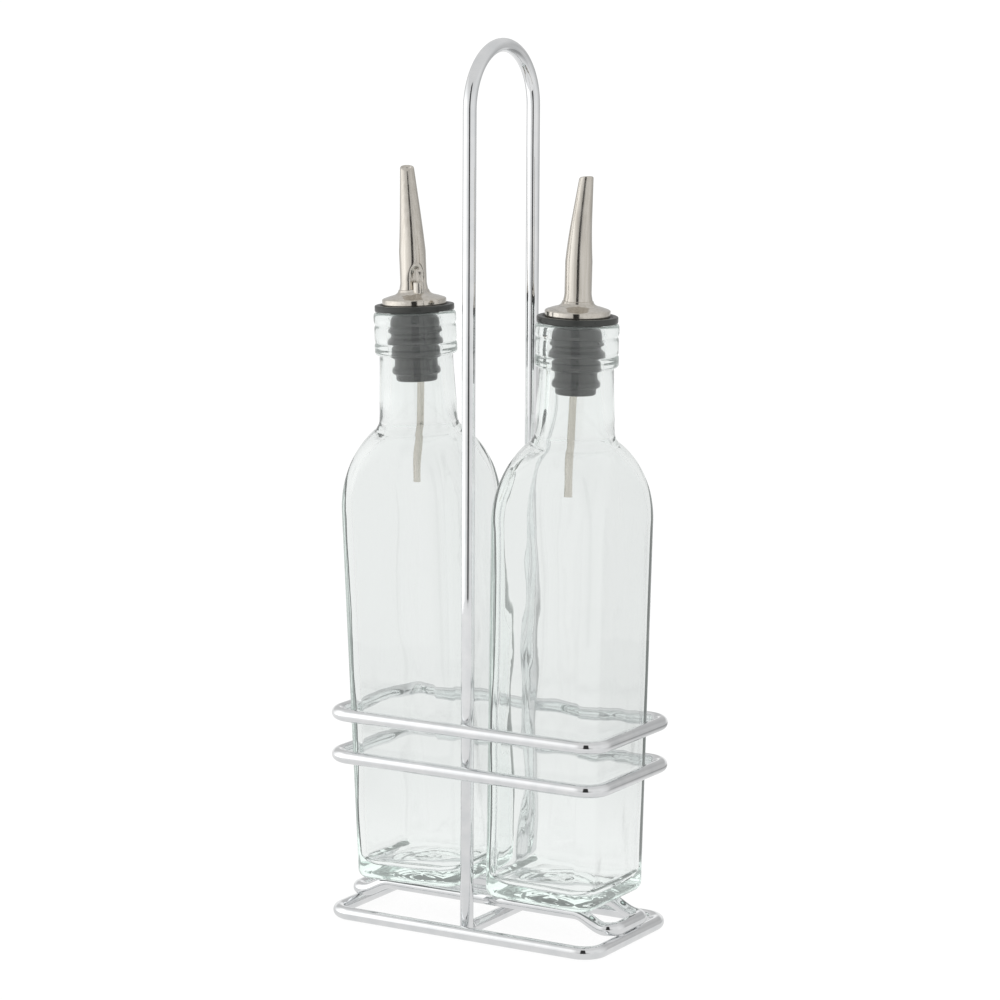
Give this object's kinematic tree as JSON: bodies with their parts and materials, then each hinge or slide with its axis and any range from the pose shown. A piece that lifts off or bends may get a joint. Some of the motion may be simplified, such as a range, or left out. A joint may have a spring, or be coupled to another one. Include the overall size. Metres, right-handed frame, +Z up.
{
  "type": "cruet set",
  "caption": "Cruet set: a chromed wire caddy with a tall loop handle carries square glass bottles, each closed by a ribbed rubber stopper with a bent steel pour spout.",
  "frame": {"origin": "on the table under the middle of the caddy, at the middle of the base ring's outline", "axes": "+Z up, +X along the caddy's long axis towards the right bottle, -Y towards the front"},
  "size_m": [0.1198, 0.0616, 0.334],
  "materials": {
    "chrome": "bright mirror chrome plating on steel wire",
    "glass": "clear glass with a faint green tint, glossy",
    "rubber": "matt dark grey moulded rubber",
    "steel": "polished stainless steel with fine drawing lines"
  },
  "bodies": {
    "caddy": {"base_ring": "chrome", "bottle_rest": "chrome", "cross_bar": "chrome", "handle_loop": "chrome", "lower_band": "chrome", "upper_band": "chrome"},
    "bottle_left": {"bottle_left": "glass"},
    "stopper_left": {"stopper_left": "rubber"},
    "pourer_left": {"spout_left": "steel", "flange_left": "steel", "vent_tube_left": "steel"},
    "bottle_right": {"bottle_right": "glass"},
    "stopper_right": {"stopper_right": "rubber"},
    "pourer_right": {"spout_right": "steel", "flange_right": "steel", "vent_tube_right": "steel"}
  },
  "joints": [
    {"name": "lift_bottle_left", "type": "slide", "parent": "caddy", "child": "bottle_left", "axis": [0, 0, 1], "range_m": [0, 0.11]},
    {"name": "pull_stopper_left", "type": "slide", "parent": "bottle_left", "child": "stopper_left", "axis": [-0.0457, 0, 0.999], "range_m": [0, 0.075]},
    {"name": "turn_pourer_left", "type": "hinge", "parent": "stopper_left", "child": "pourer_left", "pos_m": [-0.03777, 0, 0.23345], "axis": [-0.0457, 0, 0.999], "continuous": true},
    {"name": "lift_bottle_right", "type": "slide", "parent": "caddy", "child": "bottle_right", "axis": [0, 0, 1], "range_m": [0, 0.11]},
    {"name": "pull_stopper_right", "type": "slide", "parent": "bottle_right", "child": "stopper_right", "axis": [0.0175, 0, 0.9998], "range_m": [0, 0.075]},
    {"name": "turn_pourer_right", "type": "hinge", "parent": "stopper_right", "child": "pourer_right", "pos_m": [0.0325, 0, 0.23327], "axis": [0.0175, 0, 0.9998], "continuous": true}
  ]
}
